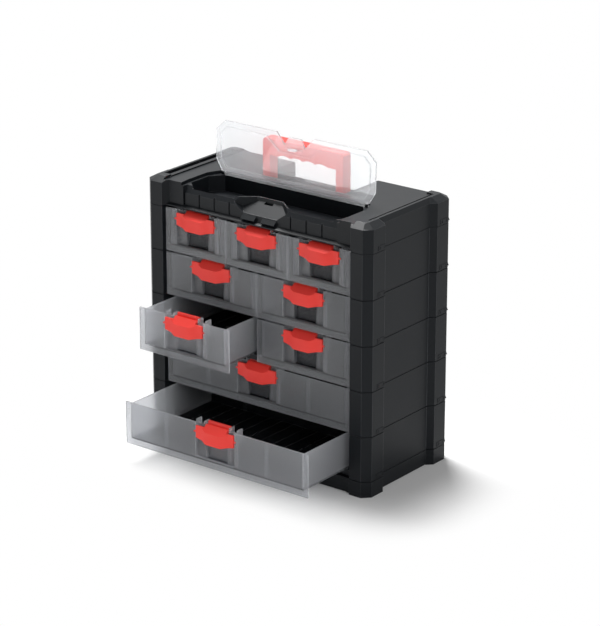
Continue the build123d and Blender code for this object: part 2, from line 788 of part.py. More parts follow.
    # ears of the lid's hinge
    ear_x = lid_root_half_width - lid_ear_width / 2 - lid_ear_clearance
    with BuildSketch(Plane.XY.offset(lid_hinge_z - trough)):
        with Locations((0, lid_hinge_y)):
            with GridLocations(2 * ear_x, 1, 2, 1):
                Rectangle(lid_ear_width, 2 * lid_barrel_radius)
    extrude(amount=trough + lid_barrel_radius)
    with BuildSketch(Plane.YZ):
        with Locations((lid_hinge_y, lid_hinge_z)):
            Circle(lid_pin_radius + lid_pin_clearance)
    extrude(amount=lid_root_half_width, both=True, mode=Mode.SUBTRACT)
write(top, "top_tray")

# ---- Lid, standing open ------------------------------------------------------------
lean = radians(lid_lean)
lid_plane = Plane(
    origin=(0, lid_hinge_y, lid_hinge_z), x_dir=(1, 0, 0), z_dir=(0, -cos(lean), sin(lean))
)
barrel_half = ear_x - lid_ear_width / 2 - lid_ear_clearance
root_step = lid_barrel_radius + 2 * lid_ear_clearance
half = [
    (barrel_half, 0),
    (barrel_half, root_step),
    (lid_root_half_width, root_step),
    (lid_half_width, lid_shoulder),
    (lid_half_width, lid_corner),
    (lid_tip_half_width, lid_length),
    (lid_notch_outer, lid_length),
    (lid_notch_apex, lid_length - lid_notch_depth),
    (lid_tab_half_width, lid_length - lid_tab_drop),
]
rib_tip = lid_length - lid_rib_inset
rib_dip = lid_hinge_y - bulge_back - lid_side_clearance
rib_half = [
    (lid_root_half_width - lid_rib_inset, lid_rib_inset),
    (lid_half_width - lid_rib_inset, lid_shoulder + lid_rib_inset / 2),
    (lid_half_width - lid_rib_inset, lid_corner - lid_rib_inset / 2),
    (lid_tip_half_width - lid_rib_inset / 2, rib_tip),
    (bulge_half_width, rib_tip),
    (bulge_tip + lid_rib_inset / 2, rib_dip),
]
with BuildPart() as lid:
    with BuildSketch(lid_plane.offset(-lid_thickness / 2)):
        Polygon(*half, *[(-x, s) for x, s in reversed(half)], align=None)
    extrude(amount=lid_thickness)
    # rib that stiffens the edge, on the side that closes downwards
    with BuildSketch(lid_plane.offset(lid_thickness / 2)):
        Polygon(*rib_half, *[(-x, s) for x, s in reversed(rib_half)], align=None)
        offset(amount=-lid_rib_width, kind=Kind.INTERSECTION, mode=Mode.SUBTRACT)
    extrude(amount=lid_rib_height)
    # hook on its short bar
    with BuildSketch(lid_plane.offset(lid_thickness / 2)):
        with Locations((0, lid_hook_position)):
            Rectangle(2 * lid_bar_half_width, lid_hook_thickness)
    extrude(amount=lid_rib_height)
    with BuildSketch(lid_plane.offset(lid_thickness / 2)):
        with Locations((0, lid_hook_position)):
            Rectangle(lid_hook_width, lid_hook_thickness)
    extrude(amount=lid_hook_length)
    # hinge barrel and its pins
    with BuildSketch(Plane.YZ):
        with Locations((lid_hinge_y, lid_hinge_z)):
            Circle(lid_barrel_radius)
    extrude(amount=barrel_half, both=True)
    with BuildSketch(Plane.YZ):
        with Locations((lid_hinge_y, lid_hinge_z)):
            Circle(lid_pin_radius)
    extrude(amount=ear_x + lid_ear_width / 2, both=True)
write(lid, "lid")

# ---- Handle, standing up -----------------------------------------------------------
leg_middle = handle_half_width - handle_leg_width / 2
bar_bottom = handle_top - handle_bar_height
with BuildPart() as handle:
    with BuildSketch(Plane.XZ.offset(-handle_y)) as bow:
        with Locations((0, (handle_top + handle_z) / 2)):
            Rectangle(2 * handle_half_width, handle_top - handle_z)
        chamfer(bow.vertices().group_by(Axis.Y)[-1], handle_corner)
        with Locations((0, (bar_bottom + handle_z) / 2)):
            Rectangle(
                2 * (handle_half_width - handle_leg_width),
                bar_bottom - handle_z,
                mode=Mode.SUBTRACT,
            )
        with Locations((0, bar_bottom - finger_wave_radius + finger_wave_rise)):
            with GridLocations(finger_wave_pitch, 1, finger_waves, 1):
                Circle(finger_wave_radius, mode=Mode.SUBTRACT)
    extrude(amount=handle_depth / 2, both=True)
    # round feet of the legs, and the pins they turn on
    for side in (-1, 1):
        with BuildSketch(Plane.YZ.offset(side * leg_middle)):
            with Locations((handle_y, handle_z)):
                Circle(handle_depth / 2)
        extrude(amount=handle_leg_width / 2, both=True)
        with BuildSketch(Plane.YZ.offset(side * (handle_half_width + handle_pin_length / 2))):
            with Locations((handle_y, handle_z)):
                Circle(handle_pin_radius)
        extrude(amount=handle_pin_length / 2, both=True)
    bar_edges = handle.edges().filter_by(Axis.X).filter_by(lambda e: e.center().Z > bar_bottom)
    fillet(bar_edges, handle_edge)
write(handle, "carry_handle")
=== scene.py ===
"""Tool storage caddy: finishes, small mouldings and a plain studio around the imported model."""
import json
from math import cos, inf, pi, radians, sin

import bmesh
import bpy
from bpy.props import FloatProperty, FloatVectorProperty, PointerProperty
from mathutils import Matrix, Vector


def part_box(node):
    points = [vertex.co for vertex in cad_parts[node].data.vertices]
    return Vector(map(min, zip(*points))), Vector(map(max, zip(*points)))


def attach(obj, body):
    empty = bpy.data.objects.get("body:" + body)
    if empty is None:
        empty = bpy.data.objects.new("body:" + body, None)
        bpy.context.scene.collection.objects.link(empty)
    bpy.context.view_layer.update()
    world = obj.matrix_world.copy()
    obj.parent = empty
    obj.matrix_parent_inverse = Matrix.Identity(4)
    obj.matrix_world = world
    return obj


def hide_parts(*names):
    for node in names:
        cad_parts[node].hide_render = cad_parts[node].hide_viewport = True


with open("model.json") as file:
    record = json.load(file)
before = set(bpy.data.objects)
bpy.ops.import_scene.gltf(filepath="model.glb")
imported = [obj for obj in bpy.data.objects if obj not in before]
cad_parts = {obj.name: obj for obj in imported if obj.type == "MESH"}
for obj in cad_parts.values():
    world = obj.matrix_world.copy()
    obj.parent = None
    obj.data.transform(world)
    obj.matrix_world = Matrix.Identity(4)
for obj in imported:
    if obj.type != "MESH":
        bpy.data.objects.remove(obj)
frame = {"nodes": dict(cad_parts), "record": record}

bl_info = {
    "name": "Tool storage caddy",
    "version": (1, 0, 0),
    "blender": (4, 5, 0),
    "location": "View3D > Sidebar > Caddy",
    "description": "Finishes the case, drawers, latches, lid and handle of a tool storage caddy",
    "category": "Object",
}

CASE_NODES = frame["record"]["behaviour"]["bodies"]["case"]
TIERS = sorted(name for name in CASE_NODES if name.startswith("tier_frame"))
DRAWERS = sorted(name for name in frame["nodes"] if "drawer" in name and "latch" not in name)
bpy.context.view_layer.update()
BODY_OF = {
    node: body
    for body, nodes in frame["record"]["behaviour"]["bodies"].items()
    for node in nodes
}


# ---- Settings ----------------------------------------------------------------------
class CaddySizes(bpy.types.PropertyGroup):
    """Sizes of the finishing work, in metres."""
    case_edge: FloatProperty(
        name="Case edge", description="Rounding of the case's moulded edges",
        default=0.0007, unit="LENGTH")
    pocket_width: FloatProperty(
        name="Pocket width", description="Width of the finger pocket behind a latch",
        default=0.0405, unit="LENGTH")
    pocket_skin: FloatProperty(
        name="Pocket skin", description="Depth at which the finger pocket begins",
        default=0.0010, unit="LENGTH")
    pocket_zone: FloatProperty(
        name="Pocket depth", description="Depth at which the finger pocket ends",
        default=0.0200, unit="LENGTH")
    # within this height of a joint the case's bevels get no painted edge highlight
    seam_zone: FloatProperty(
        name="Seam zone", description="Height beside a joint between tiers that stays matt",
        default=0.0016, unit="LENGTH")
    drawer_edge: FloatProperty(
        name="Drawer edge", description="Rounding of the drawers' edges",
        default=0.0006, unit="LENGTH")
    latch_edge: FloatProperty(
        name="Latch edge", description="Rounding of the latches' edges",
        default=0.0007, unit="LENGTH")
    lid_edge: FloatProperty(
        name="Lid edge", description="Rounding of the lid's edges",
        default=0.0005, unit="LENGTH")
    handle_edge: FloatProperty(
        name="Handle edge", description="Rounding of the handle's edges",
        default=0.0012, unit="LENGTH")
    front_zone: FloatProperty(
        name="Front zone", description="Depth of a drawer's front panel and of its back wall",
        default=0.0045, unit="LENGTH")
    floor_zone: FloatProperty(
        name="Floor zone", description="Height below which a drawer's box is its floor",
        default=0.0125, unit="LENGTH")
    clip_width: FloatProperty(
        name="Clip width", description="Width of the snap clips on the posts",
        default=0.0165, unit="LENGTH")
    clip_height: FloatProperty(
        name="Clip height", description="Height of the snap clips on the posts",
        default=0.0065, unit="LENGTH")
    clip_proud: FloatProperty(
        name="Clip depth", description="How far a clip stands off its post",
        default=0.0004, unit="LENGTH")
    clip_lift: FloatProperty(
        name="Clip lift", description="Height of a clip's lower edge over the joint below it",
        default=0.0022, unit="LENGTH")
    corner_cut: FloatProperty(
        name="Corner cut", description="Width of the chamfers on the case's corners",
        default=0.0110, unit="LENGTH")
    tab_proud: FloatProperty(
        name="Tab depth", description="How far a corner tab stands off its chamfer",
        default=0.0022, unit="LENGTH")
    ledge_gap: FloatProperty(
        name="Ledge gap", description="Space between the tray's ledge and the drawers under it",
        default=0.0003, unit="LENGTH")
    ledge_setback: FloatProperty(
        name="Ledge setback", description="How far the ledge stands behind the drawers' fronts",
        default=0.0010, unit="LENGTH")
    ledge_rise: FloatProperty(
        name="Ledge rise", description="Height of the ledge where it meets the tray",
        default=0.0050, unit="LENGTH")
    ledge_lip: FloatProperty(
        name="Ledge lip", description="Height of the ledge's front edge",
        default=0.0018, unit="LENGTH")
    ledge_depth: FloatProperty(
        name="Ledge depth", description="Depth of the ledge from its front edge into the tray",
        default=0.0090, unit="LENGTH")


class CaddyColours(bpy.types.PropertyGroup):
    """Colours of the plastics."""
    # painted highlight: the case's bevels are a lighter black than the case, standing in for the
    # light they catch; their lower roughness and higher specular are real gloss
    casing_edge: FloatVectorProperty(
        name="Casing edges", description="Polished edges of the black case", subtype="COLOR",
        size=3, default=(0.024, 0.028, 0.033), min=0.0, max=1.0)
    # painted highlight: near-white on the bevels of the drawers and lid stands in for the light
    # their edges catch
    edge: FloatVectorProperty(
        name="Clear edges", description="Edges of the clear pieces, where light gathers",
        subtype="COLOR", size=3, default=(0.88, 0.90, 0.92), min=0.0, max=1.0)
    clip_pocket_shade: FloatVectorProperty(
        name="Pockets", description="Unlit insides of the clips' pockets", subtype="COLOR",
        size=3, default=(0.0015, 0.0018, 0.002), min=0.0, max=1.0)
    casing: FloatVectorProperty(
        name="Casing", description="Black of the case", subtype="COLOR", size=3,
        default=(0.007, 0.0085, 0.0105), min=0.0, max=1.0)
    drawer: FloatVectorProperty(
        name="Drawers", description="Smoky tint of the drawers", subtype="COLOR", size=3,
        default=(0.60, 0.61, 0.63), min=0.0, max=1.0)
    drawer_floor: FloatVectorProperty(
        name="Drawer floors", description="Darker tint of the drawers' floors and back walls",
        subtype="COLOR", size=3, default=(0.16, 0.17, 0.19), min=0.0, max=1.0)
    # painted shade: a darker tint in the shut drawers' finger pockets stands in for the shade
    # there
    drawer_pocket_shade: FloatVectorProperty(
        name="Latch pockets", description="Tint of the finger pockets behind the latches",
        subtype="COLOR", size=3, default=(0.34, 0.35, 0.37), min=0.0, max=1.0)
    lid: FloatVectorProperty(
        name="Lid", description="Faint white of the clear lid", subtype="COLOR", size=3,
        default=(0.93, 0.94, 0.95), min=0.0, max=1.0)
    red: FloatVectorProperty(
        name="Red", description="Red of the latches and the handle", subtype="COLOR", size=3,
        default=(0.88, 0.045, 0.033), min=0.0, max=1.0)


class CaddyStudio(bpy.types.PropertyGroup):
    """Camera and light."""
    azimuth: FloatProperty(
        name="Azimuth", description="Turn of the camera from straight ahead",
        default=radians(37.701), subtype="ANGLE")
    elevation: FloatProperty(
        name="Elevation", description="Height of the camera as an angle",
        default=radians(19.843), subtype="ANGLE")
    distance: FloatProperty(
        name="Distance", description="Camera to its target",
        default=4.078, unit="LENGTH")
    target: FloatVectorProperty(
        name="Target", description="Point that the camera looks at",
        default=(0.00449, 0.0, 0.20697), subtype="XYZ", size=3)
    lens: FloatProperty(
        name="Lens", description="Focal length in millimetres", default=162.67)
    floor_size: FloatProperty(
        name="Floor", description="Side of the square floor", default=14.0, unit="LENGTH")
    shadow_centre: FloatVectorProperty(
        name="Shadow centre", description="Middle of the floor's shaded part",
        default=(0.0, 0.03, 0.0), subtype="XYZ", size=3)
    shadow_near: FloatProperty(
        name="Shadow near",
        description="Distance from the case within which the floor keeps its full shadow",
        default=0.02, unit="LENGTH")
    shadow_far: FloatProperty(
        name="Shadow far",
        description="Distance from the case beyond which the floor is plain white",
        default=0.18, unit="LENGTH")
    shadow_lift: FloatProperty(
        name="Shadow lift", description="Least share of plain white in the shaded part",
        default=0.04, subtype="FACTOR")
    world_light: FloatProperty(
        name="World light", description="Strength of the surrounding light", default=0.2)
    key_power: FloatProperty(
        name="Key light", description="Power of the main lamp", default=95.0)
    fill_power: FloatProperty(
        name="Fill light", description="Power of the lamp on the right", default=20.0)
    low_power: FloatProperty(
        name="Low light", description="Power of the lamp low on the left", default=1.6)


# ---- Selection helpers -------------------------------------------------------------
def only(obj):
    """Select one object and make it active."""
    bpy.ops.object.select_all(action="DESELECT")
    obj.select_set(True)
    bpy.context.view_layer.objects.active = obj


def edit(obj):
    """Open one object for editing with nothing selected."""
    only(obj)
    bpy.ops.object.mode_set(mode="EDIT")
    bpy.ops.mesh.select_mode(type="FACE")
    bpy.ops.mesh.select_all(action="DESELECT")


def done():
    """Leave edit mode."""
    bpy.ops.object.mode_set(mode="OBJECT")


def pick_faces(obj, keep):
    """In edit mode, select the faces for which keep(face) is true."""
    mesh = bmesh.from_edit_mesh(obj.data)
    for face in mesh.faces:
        face.select_set(keep(face))
    bmesh.update_edit_mesh(obj.data)


def settle(obj):
    """Bake an object's place into its mesh, so that it sits at the origin."""
    only(obj)
    bpy.ops.object.transform_apply(location=True, rotation=True, scale=True)


def soften(obj, width, segments=2, angle=30.0, edge_slot=-1):
    """Round an object's edges and shade it."""
    only(obj)
    bevel = obj.modifiers.new("edges", "BEVEL")
    bevel.width = width
    bevel.segments = segments
    bevel.limit_method = "ANGLE"
    bevel.angle_limit = radians(angle)
    bevel.harden_normals = False
    bevel.use_clamp_overlap = True
    bevel.material = edge_slot
    bpy.ops.object.modifier_apply(modifier=bevel.name)
    bpy.ops.object.shade_smooth_by_angle(angle=radians(angle + 10.0))
    weighted = obj.modifiers.new("normals", "WEIGHTED_NORMAL")
    weighted.keep_sharp = True
    bpy.ops.object.modifier_apply(modifier=weighted.name)


def dress(node, width, material, segments=2, edge=None):
    """A finished copy of a CAD node: edges rounded, in its own material; the bevels take a second
    material, a painted edge highlight, where one is given.
    """
    piece = bpy.data.objects.new(f"{node}_finished", frame["nodes"][node].data.copy())
    bpy.context.scene.collection.objects.link(piece)
    edit(piece)
    bpy.ops.mesh.select_all(action="SELECT")
    bpy.ops.mesh.remove_doubles(threshold=0.00002)
    done()
    piece.data.materials.clear()
    piece.data.materials.append(material)
    if edge:
        piece.data.materials.append(edge)
    soften(piece, width, segments, edge_slot=1 if edge else -1)
    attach(piece, BODY_OF[node])
    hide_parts(node)
    return piece


# ---- Node groups -------------------------------------------------------------------
def new_group(name, inputs, outputs):
    """An empty shader group with float or colour sockets."""
    group = bpy.data.node_groups.new(name, "ShaderNodeTree")
    for label, kind, default in inputs:
        socket = group.interface.new_socket(name=label, in_out="INPUT", socket_type=kind)
        socket.default_value = default
    for label, kind in outputs:
        group.interface.new_socket(name=label, in_out="OUTPUT", socket_type=kind)
    return group, group.nodes.new("NodeGroupInput"), group.nodes.new("NodeGroupOutput")


def math(tree, operation, a, b):
    """A Math node on two sockets or numbers."""
    node = tree.nodes.new("ShaderNodeMath")
    node.operation = operation
    for index, value in enumerate((a, b)):
        if isinstance(value, (int, float)):
            node.inputs[index].default_value = value
        else:
            tree.links.new(value, node.inputs[index])
    return node.outputs[0]


def moulded_grain():
    """Fine spark-eroded grain and faint handling marks of moulded plastic."""
    group, given, out = new_group(
        "moulded_grain",
        [
            ("Grain Size", "NodeSocketFloat", 900.0),
            ("Grain Depth", "NodeSocketFloat", 0.3),
            ("Roughness", "NodeSocketFloat", 0.4),
            ("Roughness Spread", "NodeSocketFloat", 0.08),
            ("Colour", "NodeSocketColor", (0.5, 0.5, 0.5, 1.0)),
            ("Tone Spread", "NodeSocketFloat", 0.1),
        ],
        [
            ("Colour", "NodeSocketColor"),
            ("Roughness", "NodeSocketFloat"),
            ("Height", "NodeSocketFloat"),
        ],
    )
    place = group.nodes.new("ShaderNodeTexCoord")
    fine = group.nodes.new("ShaderNodeTexNoise")
    fine.inputs["Detail"].default_value = 3.0
    group.links.new(place.outputs["Object"], fine.inputs["Vector"])
    group.links.new(given.outputs["Grain Size"], fine.inputs["Scale"])
    broad = group.nodes.new("ShaderNodeTexNoise")
    broad.inputs["Scale"].default_value = 14.0
    broad.inputs["Detail"].default_value = 6.0
    broad.inputs["Roughness"].default_value = 0.65
    group.links.new(place.outputs["Object"], broad.inputs["Vector"])
    swing = math(group, "SUBTRACT", broad.outputs["Fac"], 0.5)
    rough = math(group, "ADD", given.outputs["Roughness"],
                 math(group, "MULTIPLY", swing, given.outputs["Roughness Spread"]))
    tone = math(group, "ADD", 1.0, math(group, "MULTIPLY", swing, given.outputs["Tone Spread"]))
    scale = group.nodes.new("ShaderNodeVectorMath")
    scale.operation = "SCALE"
    group.links.new(given.outputs["Colour"], scale.inputs[0])
    group.links.new(tone, scale.inputs["Scale"])
    group.links.new(scale.outputs[0], out.inputs["Colour"])
    group.links.new(rough, out.inputs["Roughness"])
    group.links.new(math(group, "MULTIPLY", fine.outputs["Fac"], given.outputs["Grain Depth"]),
                    out.inputs["Height"])
    return group


def plastic(name, colour, grain, roughness, specular, bump=0.00004, grain_size=900.0,
            tone_spread=0.12, rough_spread=0.1):
    """A moulded plastic with a fine grain."""
    material = bpy.data.materials.new(name)
    material.use_nodes = True
    tree = material.node_tree
    shader = tree.nodes["Principled BSDF"]
    shader.inputs["Specular IOR Level"].default_value = specular
    finish = tree.nodes.new("ShaderNodeGroup")
    finish.node_tree = grain
    finish.inputs["Grain Size"].default_value = grain_size
    finish.inputs["Grain Depth"].default_value = 1.0
    finish.inputs["Roughness"].default_value = roughness
    finish.inputs["Roughness Spread"].default_value = rough_spread
    finish.inputs["Colour"].default_value = (*colour, 1.0)
    finish.inputs["Tone Spread"].default_value = tone_spread
    relief = tree.nodes.new("ShaderNodeBump")
    relief.inputs["Distance"].default_value = bump
    relief.inputs["Strength"].default_value = 0.6
    tree.links.new(finish.outputs["Height"], relief.inputs["Height"])
    tree.links.new(finish.outputs["Colour"], shader.inputs["Base Color"])
    tree.links.new(finish.outputs["Roughness"], shader.inputs["Roughness"])
    tree.links.new(relief.outputs["Normal"], shader.inputs["Normal"])
    return material


def clear(material, transmission, index, shade, veil=0.0):
    """Let light through a plastic, part of it scattered, and let part of it cast no shadow."""
    tree = material.node_tree
    shader = tree.nodes["Principled BSDF"]
    milky = tree.nodes.new("ShaderNodeBsdfTranslucent")
    milky.inputs["Color"].default_value = (0.9, 0.92, 0.95, 1.0)
    haze = tree.nodes.new("ShaderNodeMixShader")
    haze.inputs["Fac"].default_value = veil
    tree.links.new(shader.outputs["BSDF"], haze.inputs[1])
    tree.links.new(milky.outputs["BSDF"], haze.inputs[2])
    shader.inputs["Transmission Weight"].default_value = transmission
    shader.inputs["IOR"].default_value = index
    path = tree.nodes.new("ShaderNodeLightPath")
    through = tree.nodes.new("ShaderNodeBsdfTransparent")
    mix = tree.nodes.new("ShaderNodeMixShader")
    tree.links.new(math(tree, "MULTIPLY", path.outputs["Is Shadow Ray"], 1.0 - shade),
                   mix.inputs["Fac"])
    tree.links.new(haze.outputs["Shader"], mix.inputs[1])
    tree.links.new(through.outputs["BSDF"], mix.inputs[2])
    tree.links.new(mix.outputs["Shader"], tree.nodes["Material Output"].inputs["Surface"])


def materials():
    """All plastics of the caddy, made once."""
    if "casing_black" in bpy.data.materials:
        return {m.name: m for m in bpy.data.materials}
    colours = bpy.context.scene.caddy_colours
    grain = moulded_grain()
    plastic("casing_black", colours.casing, grain, 0.42, 0.15, grain_size=1500.0)
    # the case's bevels: glossier, and lighter in colour as a painted highlight
    plastic("casing_edge", colours.casing_edge, grain, 0.34, 0.5, grain_size=1500.0)
    smoky = plastic("drawer_clear", colours.drawer, grain, 0.24, 0.5, bump=0.00001,
                    grain_size=300.0)
    clear(smoky, transmission=0.86, index=1.25, shade=0.4, veil=0.13)
    tinted = plastic("drawer_floor_clear", colours.drawer_floor, grain, 0.1, 0.3, bump=0.00001,
                     grain_size=300.0)
    clear(tinted, transmission=0.95, index=1.1, shade=0.5)
    # painted shade in the finger pockets of shut drawers
    pocket_shade = plastic("drawer_pocket_clear", colours.drawer_pocket_shade, grain, 0.15, 0.4,
                     bump=0.00001, grain_size=300.0)
    clear(pocket_shade, transmission=0.88, index=1.15, shade=0.5, veil=0.06)
    # the clear pieces' bevels: lighter and less see-through, a painted highlight
    rim_highlight = plastic("edge_clear", colours.edge, grain, 0.3, 0.5, bump=0.00001, grain_size=300.0)
    clear(rim_highlight, transmission=0.35, index=1.2, shade=0.4, veil=0.2)
    glassy = plastic("lid_clear", colours.lid, grain, 0.015, 0.5, bump=0.000005,
                     grain_size=200.0, rough_spread=0.02)
    clear(glassy, transmission=0.88, index=1.3, shade=0.3, veil=0.13)
    plastic("clip_shadow", colours.clip_pocket_shade, grain, 0.7, 0.1, grain_size=1500.0)
    plastic("latch_red", colours.red, grain, 0.45, 0.25, grain_size=1200.0, tone_spread=0.06)
    plastic("handle_red", colours.red, grain, 0.45, 0.25, grain_size=1200.0, tone_spread=0.06)
    return {m.name: m for m in bpy.data.materials}


def seen(tree):
    """A mask of the rays that see the background: from the camera, off gloss, through plastic."""
    path = tree.nodes.new("ShaderNodeLightPath")
    return math(tree, "MAXIMUM", path.outputs["Is Camera Ray"],
                math(tree, "MAXIMUM", path.outputs["Is Glossy Ray"],
                     path.outputs["Is Transmission Ray"]))


# ---- Operators ---------------------------------------------------------------------
class CADDY_OT_case(bpy.types.Operator):
    """Finish the base, the drawer tiers and the top tray"""
    bl_idname = "caddy.case"
    bl_label = "Case"

    def execute(self, context):
        sizes = context.scene.caddy_sizes
        plastics = materials()
        for node in CASE_NODES:
            # the bevels take the casing's painted edge highlight
            piece = dress(node, sizes.case_edge, plastics["casing_black"], 2,
                          plastics["casing_edge"])
            # beside a joint the case gets no painted edge highlight and stays matt, and the tray
            # has no joint at its top
            low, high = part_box(node)
            lower = low.z + sizes.seam_zone
            upper = inf if node == "top_tray" else high.z - sizes.seam_zone
            edit(piece)
            pick_faces(piece, lambda f: not lower <= f.calc_center_median().z <= upper)
            piece.active_material_index = 0
            bpy.ops.object.material_slot_assign()
            done()
        return {"FINISHED"}


class CADDY_OT_clips(bpy.types.Operator):
    """Add the snap clips and corner tabs that hold the tiers together at their posts"""
    bl_idname = "caddy.clips"
    bl_label = "Snap clips"

    front_place = 0.70      # of the case's half depth
    back_place = 0.775
    pocket_split = 0.16     # of a clip's width: the bar between its two pockets, each way
    pocket_edge = 0.2       # of a clip's height: what is left around a pocket
    pocket_depth = 0.85     # of a clip's depth
    tab_width = 0.45        # of a clip's width
    tab_taper = (0.08, 0.8, 1.0)

    def execute(self, context):
        sizes = context.scene.caddy_sizes
        plastics = materials()
        low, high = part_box(TIERS[0])
        plate = self.plate(sizes)
        tab = self.tab(sizes)
        made = []
        for joint in [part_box(node)[0].z for node in TIERS + ["top_tray"]]:
            height = joint + sizes.clip_lift + sizes.clip_height / 2
            for side in (-1, 1):
                turn = 0 if side > 0 else pi
                for y in (low.y * self.front_place, high.y * self.back_place):
                    made.append(self.copy(plate, (side * high.x, y, height), turn))
                corner = (side * (high.x - sizes.corner_cut / 2), high.y - sizes.corner_cut / 2)
                made.append(self.copy(tab, (*corner, height), pi / 4 if side > 0 else 3 * pi / 4))
        bpy.data.objects.remove(plate)
        bpy.data.objects.remove(tab)
        bpy.ops.object.select_all(action="DESELECT")
        for piece in made:
            piece.select_set(True)
        bpy.context.view_layer.objects.active = made[0]
        bpy.ops.object.join()
        clips = bpy.context.active_object
        clips.name = "snap_clips"
        clips.data.materials.append(plastics["casing_black"])
        clips.data.materials.append(plastics["clip_shadow"])
        only(clips)
        bpy.ops.object.shade_smooth_by_angle(angle=radians(30.0))
        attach(clips, "case")
        return {"FINISHED"}

    def block(self, size):
        """A block of the given size, centred on the origin."""
        bpy.ops.object.select_all(action="DESELECT")
        bpy.ops.mesh.primitive_cube_add(size=1.0)
        block = bpy.context.active_object
        block.scale = size
        settle(block)
        return block

    def plate(self, sizes):
        """A low plate with two release pockets, facing +X."""
        plate = self.block((2 * sizes.clip_proud, sizes.clip_width, sizes.clip_height))
        edit(plate)
        for cut in (-self.pocket_split, self.pocket_split):
            bpy.ops.mesh.select_all(action="SELECT")
            bpy.ops.mesh.bisect(plane_co=(0, cut * sizes.clip_width, 0), plane_no=(0, 1, 0))
        bpy.ops.mesh.select_mode(type="FACE")
        bpy.ops.mesh.select_all(action="DESELECT")
        pick_faces(plate, lambda f: f.normal.x > 0.9
                   and abs(f.calc_center_median().y) > sizes.clip_width * self.pocket_split)
        bpy.ops.mesh.inset(thickness=sizes.clip_height * self.pocket_edge, use_individual=True)
        bpy.ops.mesh.extrude_region_move(
            TRANSFORM_OT_translate={"value": (-sizes.clip_proud * self.pocket_depth, 0, 0)})
        # the pocket floors take slot 1, a near-black painted shade for the unlit inside of a hole
        mesh = bmesh.from_edit_mesh(plate.data)
        for face in mesh.faces:
            face.material_index = 1 if face.select else 0
        bmesh.update_edit_mesh(plate.data)
        done()
        return plate

    def tab(self, sizes):
        """A wedge with a flat underside, facing +X."""
        tab = self.block((
            2 * sizes.tab_proud, sizes.clip_width * self.tab_width, sizes.clip_height))
        edit(tab)
        pick_faces(tab, lambda f: f.normal.z > 0.9)
        bpy.ops.transform.resize(value=self.tab_taper, center_override=(0, 0, 0))
        done()
        return tab

    def copy(self, source, place, turn):
        """A copy with its own mesh, turned about Z and moved to its place."""
        piece = bpy.data.objects.new("clip", source.data.copy())
        bpy.context.scene.collection.objects.link(piece)
        piece.rotation_euler.z = turn
        piece.location = place
        settle(piece)
        return piece


class CADDY_OT_ledge(bpy.types.Operator):
    """Add the ledge under the tray's ribbed band, above the top row of drawers"""
    bl_idname = "caddy.ledge"
    bl_label = "Tray ledge"

    def execute(self, context):
        sizes = context.scene.caddy_sizes
        row = [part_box(node) for node in DRAWERS if node.startswith("top_")]
        left, right = min(low.x for low, _ in row), max(high.x for _, high in row)
        bottom = row[0][1].z + sizes.ledge_gap
        front = row[0][0].y + sizes.ledge_setback
        bpy.ops.object.select_all(action="DESELECT")
        bpy.ops.mesh.primitive_cube_add(size=1.0, location=(
            (left + right) / 2, front + sizes.ledge_depth / 2, bottom + sizes.ledge_rise / 2))
        ledge = bpy.context.active_object
        ledge.name = "tray_ledge"
        ledge.scale = (right - left, sizes.ledge_depth, sizes.ledge_rise)
        settle(ledge)
        edit(ledge)
        pick_faces(ledge, lambda f: f.normal.y < -0.9)
        bpy.ops.transform.resize(value=(1.0, 1.0, sizes.ledge_lip / sizes.ledge_rise),
                                 center_override=(0, front, bottom))
        done()
        ledge.data.materials.append(materials()["casing_black"])
        soften(ledge, sizes.case_edge / 2)
        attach(ledge, "case")
        return {"FINISHED"}


class CADDY_OT_drawers(bpy.types.Operator):
    """Finish the clear drawers"""
    bl_idname = "caddy.drawers"
    bl_label = "Drawers"

    def execute(self, context):
        sizes = context.scene.caddy_sizes
        plastics = materials()
        shut_front = max(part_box(node)[0].y for node in DRAWERS)
        for node in DRAWERS:
            piece = dress(node, sizes.drawer_edge, plastics["drawer_clear"], 1,
                          plastics["edge_clear"])
            piece.data.materials.append(plastics["drawer_floor_clear"])
            piece.data.materials.append(plastics["drawer_pocket_clear"])
            low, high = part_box(node)
            edit(piece)
            zones = [(2, self.in_box)]
            # only a shut drawer gets the pocket's painted shade; an open one keeps its plain tint
            if low.y > shut_front - sizes.front_zone:
                zones.append((3, self.in_pocket))
            for slot, zone in zones:
                pick_faces(piece, lambda f: f.material_index == 0
                           and zone(f.calc_center_median(), low, high, sizes))
                piece.active_material_index = slot
                bpy.ops.object.material_slot_assign()
            done()
        return {"FINISHED"}

    def in_box(self, place, low, high, sizes):
        """Whether a place on a drawer lies in its floor or its back wall."""
        return (place.y > low.y + sizes.front_zone
                and (place.z < low.z + sizes.floor_zone or place.y > high.y - sizes.front_zone))

    def in_pocket(self, place, low, high, sizes):
        """Whether a place on a drawer lies in the finger pocket behind its latch."""
        return (abs(place.x - (low.x + high.x) / 2) < sizes.pocket_width / 2
                and place.z > low.z + sizes.floor_zone
                and low.y + sizes.pocket_skin < place.y < low.y + sizes.pocket_zone)


class CADDY_OT_latches(bpy.types.Operator):
    """Finish the red latches"""
    bl_idname = "caddy.latches"
    bl_label = "Latches"

    def execute(self, context):
        sizes = context.scene.caddy_sizes
        red = materials()["latch_red"]
        for node in DRAWERS:
            piece = dress(f"{node}_latch", sizes.latch_edge, red, 3)
        return {"FINISHED"}


class CADDY_OT_lid(bpy.types.Operator):
    """Finish the clear lid"""
    bl_idname = "caddy.lid"
    bl_label = "Lid"

    def execute(self, context):
        plastics = materials()
        piece = dress("lid", context.scene.caddy_sizes.lid_edge, plastics["lid_clear"], 2,
                      plastics["edge_clear"])
        return {"FINISHED"}


class CADDY_OT_handle(bpy.types.Operator):
    """Finish the carry handle"""
    bl_idname = "caddy.handle"
    bl_label = "Handle"

    def execute(self, context):
        piece = dress(
            "carry_handle", context.scene.caddy_sizes.handle_edge, materials()["handle_red"], 3)
        return {"FINISHED"}


